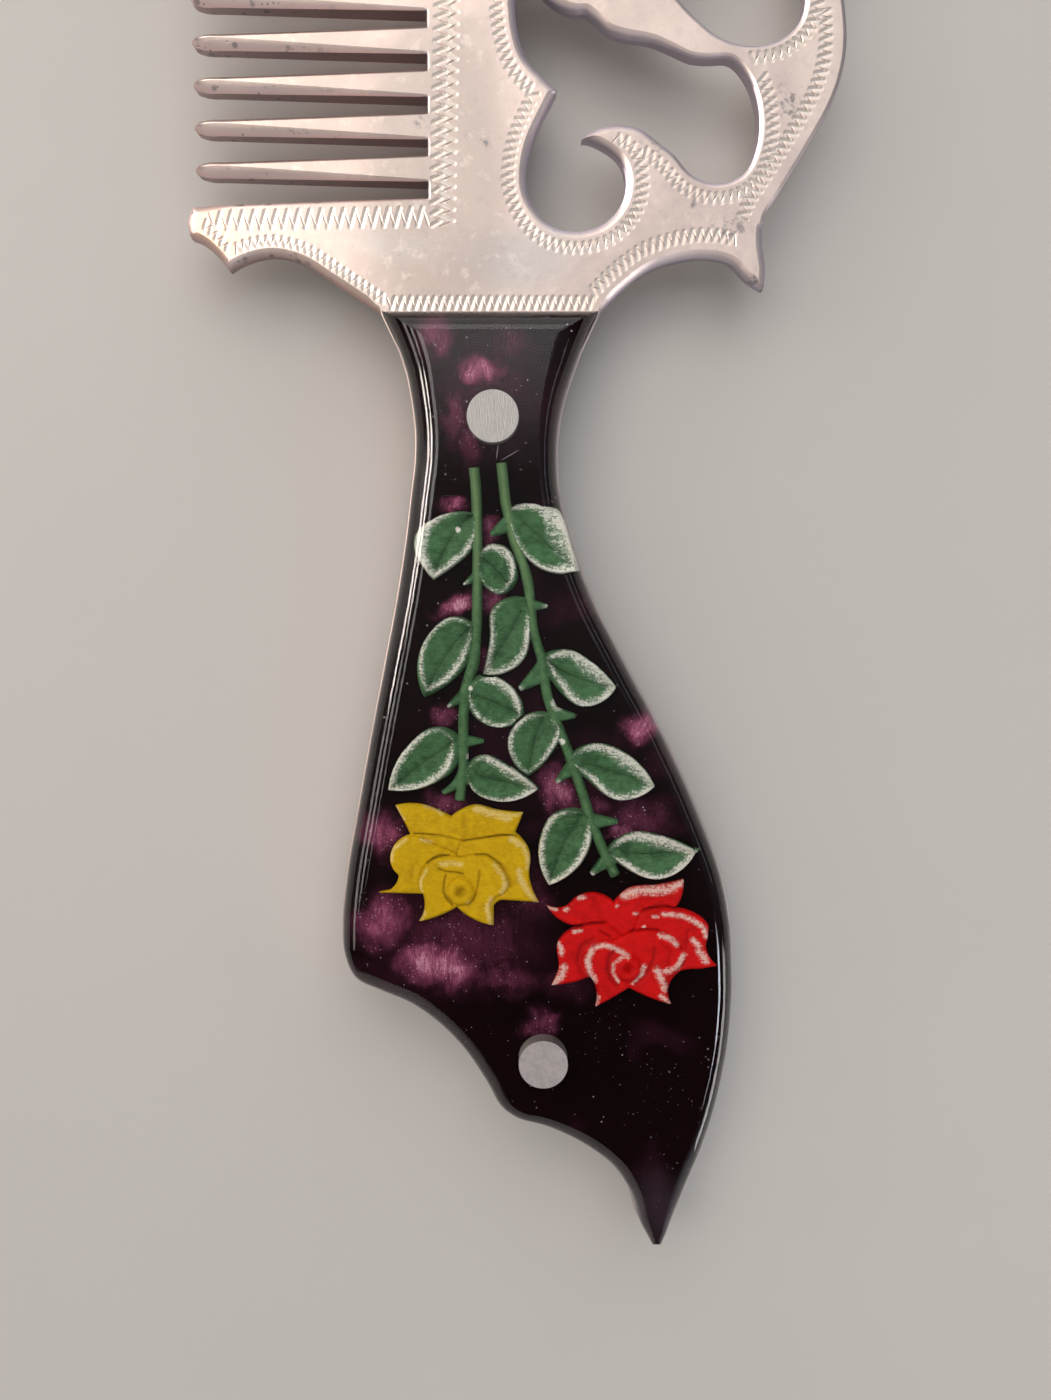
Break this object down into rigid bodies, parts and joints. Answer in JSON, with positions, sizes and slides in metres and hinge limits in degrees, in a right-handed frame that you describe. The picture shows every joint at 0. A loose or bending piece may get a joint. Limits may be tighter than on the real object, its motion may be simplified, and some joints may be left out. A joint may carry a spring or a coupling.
{
  "type": "metal hand comb with an inlaid handle",
  "caption": "Coarse-toothed metal comb with a pierced scroll ring and a riveted handle whose clear scale holds painted roses and leaves.",
  "frame": {"origin": "middle of the bounding box at the surface that the comb lies on, the flat back of the handle", "axes": "+Y along the handle towards the head, +Z out of the carved front, +X towards the scroll ring"},
  "size_m": [0.0808, 0.2066, 0.013],
  "materials": {
    "plate_aluminium": "filed and hand polished",
    "pearl_acrylic": "polished, with pink pearl clouds inside",
    "clear_acrylic": "polished",
    "green_paint": "paint behind clear acrylic, white at the edges",
    "yellow_paint": "paint behind clear acrylic",
    "red_paint": "paint behind clear acrylic",
    "rivet_aluminium": "filed flush, matt"
  },
  "bodies": {
    "root": {"comb_plate": "plate_aluminium", "back_scale": "pearl_acrylic", "pearl_sheet": "pearl_acrylic", "clear_scale": "clear_acrylic", "left_spray": "green_paint", "right_spray": "green_paint", "yellow_rose": "yellow_paint", "red_rose": "red_paint", "rivet_upper": "rivet_aluminium", "rivet_lower": "rivet_aluminium"}
  },
  "joints": []
}
